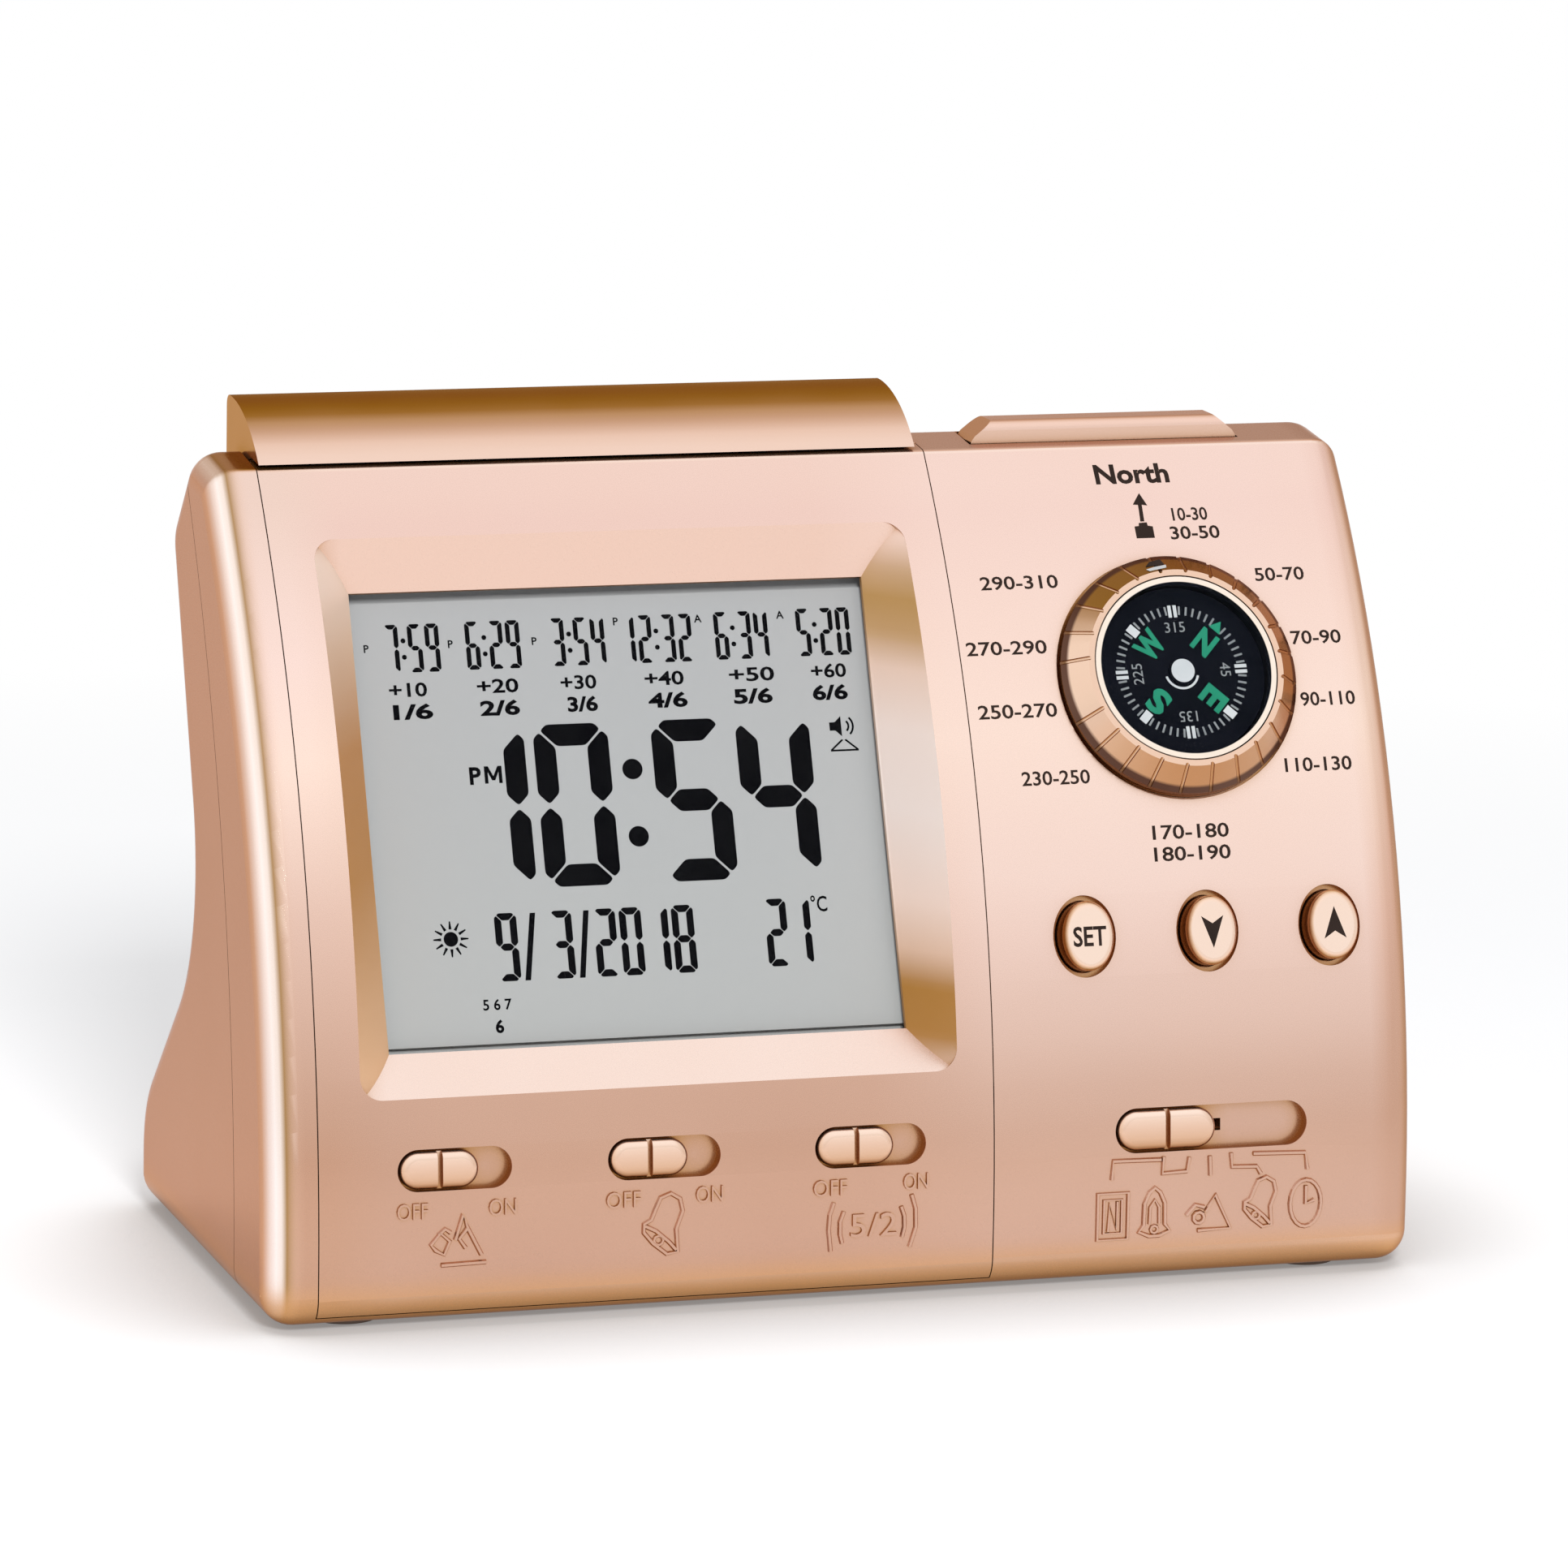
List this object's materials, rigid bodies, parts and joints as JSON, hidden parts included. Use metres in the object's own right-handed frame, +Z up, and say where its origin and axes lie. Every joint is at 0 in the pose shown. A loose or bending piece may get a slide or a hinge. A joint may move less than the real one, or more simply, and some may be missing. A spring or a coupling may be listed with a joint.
{
  "type": "desk clock with compass",
  "caption": "Curved desktop alarm clock with a framed digital display, a turning city dial round a compass, press keys, slide switches and a snooze bar.",
  "frame": {"origin": "middle of the underside at desk height", "axes": "+X to the right along the case, +Y to the back, +Z up"},
  "size_m": [0.1264, 0.0591, 0.0914],
  "materials": {
    "lacquer": "satin rose-gold metallic lacquer on moulded ABS",
    "lens": "clear acrylic",
    "lcd_glass": "grey-green reflective display cell",
    "black_plastic": "moulded black",
    "silicone": "matt elastomer",
    "board": "green solder mask",
    "tin": "tinned steel",
    "spring_brass": "nickel-plated spring brass",
    "battery_jacket": "printed jacket",
    "card": "matt black printed card",
    "capsule": "glossy pale rose",
    "paper": "pressed paper",
    "magnet": "plated iron"
  },
  "bodies": {
    "case": {"front_shell": "lacquer", "rear_shell": "lacquer", "lcd_faceplate": "lacquer", "lcd_lens": "lens", "lcd_glass": "lcd_glass", "lcd_holder": "black_plastic", "zebra_strips": "silicone", "main_board": "board", "slide_board": "board", "slide_switches": "tin", "mode_switch": "tin", "key_board": "board", "key_switches": "black_plastic", "compass_mount": "black_plastic", "compass_capsule": "capsule", "compass_pivot": "spring_brass", "compass_lens": "lens", "snooze_pin": "tin", "snooze_switch": "black_plastic", "pad_board": "board", "pad_switch": "black_plastic", "batteries": "battery_jacket", "battery_contacts": "spring_brass", "speaker_frame": "magnet", "speaker_cone": "paper", "case_screws": "tin", "foot_pads": "silicone"},
    "left_knob": {"left_knob": "lacquer"},
    "middle_knob": {"middle_knob": "lacquer"},
    "right_knob": {"right_knob": "lacquer"},
    "mode_knob": {"mode_knob": "lacquer"},
    "set_key": {"set_key": "lacquer"},
    "down_key": {"down_key": "lacquer"},
    "up_key": {"up_key": "lacquer"},
    "dial": {"dial_ring": "lacquer"},
    "card": {"compass_card": "card"},
    "snooze_bar": {"snooze_bar": "lacquer"},
    "top_pad": {"top_pad": "lacquer"},
    "battery_door": {"battery_door": "lacquer"}
  },
  "joints": [
    {"name": "left_knob_slide", "type": "slide", "parent": "case", "child": "left_knob", "axis": [1, 0, 0], "range_m": [0, 0.0033]},
    {"name": "middle_knob_slide", "type": "slide", "parent": "case", "child": "middle_knob", "axis": [1, 0, 0], "range_m": [0, 0.0033]},
    {"name": "right_knob_slide", "type": "slide", "parent": "case", "child": "right_knob", "axis": [1, 0, 0], "range_m": [0, 0.0033]},
    {"name": "mode_knob_slide", "type": "slide", "parent": "case", "child": "mode_knob", "axis": [1, 0, 0], "range_m": [0, 0.0101]},
    {"name": "set_key_press", "type": "slide", "parent": "case", "child": "set_key", "axis": [0, 0.9669, -0.2553], "range_m": [0, 0.0007], "stiffness_N_per_m": 500, "springref_m": -0.0006},
    {"name": "down_key_press", "type": "slide", "parent": "case", "child": "down_key", "axis": [0, 0.9669, -0.2553], "range_m": [0, 0.0007], "stiffness_N_per_m": 500, "springref_m": -0.0006},
    {"name": "up_key_press", "type": "slide", "parent": "case", "child": "up_key", "axis": [0, 0.9669, -0.2553], "range_m": [0, 0.0007], "stiffness_N_per_m": 500, "springref_m": -0.0006},
    {"name": "dial_turn", "type": "hinge", "parent": "case", "child": "dial", "pos_m": [0.03935, -0.0155, 0.0629], "axis": [0, -0.8861, 0.4634], "continuous": true},
    {"name": "card_turn", "type": "hinge", "parent": "case", "child": "card", "pos_m": [0.03935, -0.0155, 0.0629], "axis": [0, -0.8861, 0.4634], "continuous": true},
    {"name": "snooze_bar_press", "type": "hinge", "parent": "case", "child": "snooze_bar", "pos_m": [-0.0215, 0.00477, 0.0838], "axis": [-1, 0, 0], "range_deg": [0, 3.5], "stiffness_Nm_per_rad": 0.16, "springref_deg": -1.15},
    {"name": "top_pad_press", "type": "slide", "parent": "case", "child": "top_pad", "axis": [0, 0, -1], "range_m": [0, 0.0008], "stiffness_N_per_m": 700, "springref_m": -0.0006},
    {"name": "battery_door_slide", "type": "slide", "parent": "case", "child": "battery_door", "axis": [0, 1, 0], "range_m": [0, 0.036]}
  ]
}
